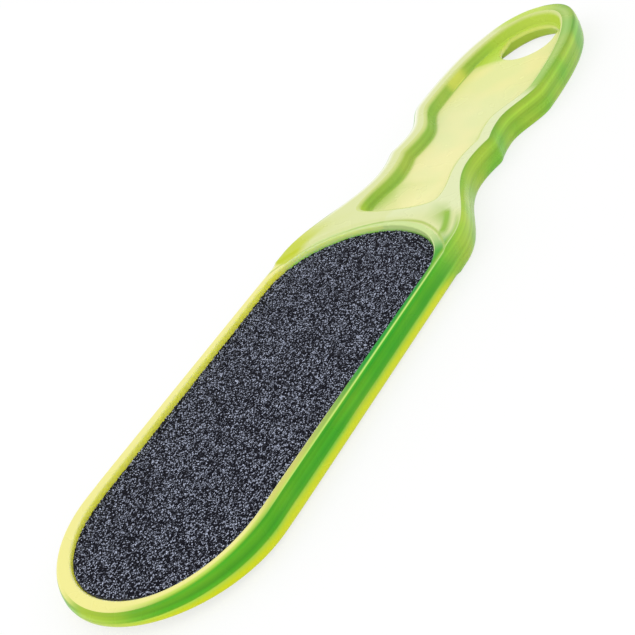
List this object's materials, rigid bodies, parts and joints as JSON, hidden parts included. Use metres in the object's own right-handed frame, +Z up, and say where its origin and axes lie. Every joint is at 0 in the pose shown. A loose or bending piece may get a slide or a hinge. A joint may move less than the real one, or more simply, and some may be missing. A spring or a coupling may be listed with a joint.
{
  "type": "foot file",
  "caption": "Flat two-sided foot file: oval paddle with sunk abrasive pads and a waisted handle with a thin web, a raised rim and a hang opening.",
  "frame": {"origin": "centre of the part's box, on the plane of the rear handle rim that it lies on", "axes": "+X along the part towards the tip of the handle, +Z up through the front pad, +Y across the paddle"},
  "size_m": [0.24, 0.06, 0.0081],
  "materials": {
    "body": "polished, see-through lime green moulding",
    "adhesive": "thin film",
    "backing": "resin-filled sheet",
    "coarse_grit": "coarse blue-black grain in resin",
    "fine_grit": "fine grey-black grain in resin"
  },
  "bodies": {
    "root": {"body": "body", "front_adhesive": "adhesive", "front_backing": "backing", "front_grit": "coarse_grit", "rear_adhesive": "adhesive", "rear_backing": "backing", "rear_grit": "fine_grit"}
  },
  "joints": []
}
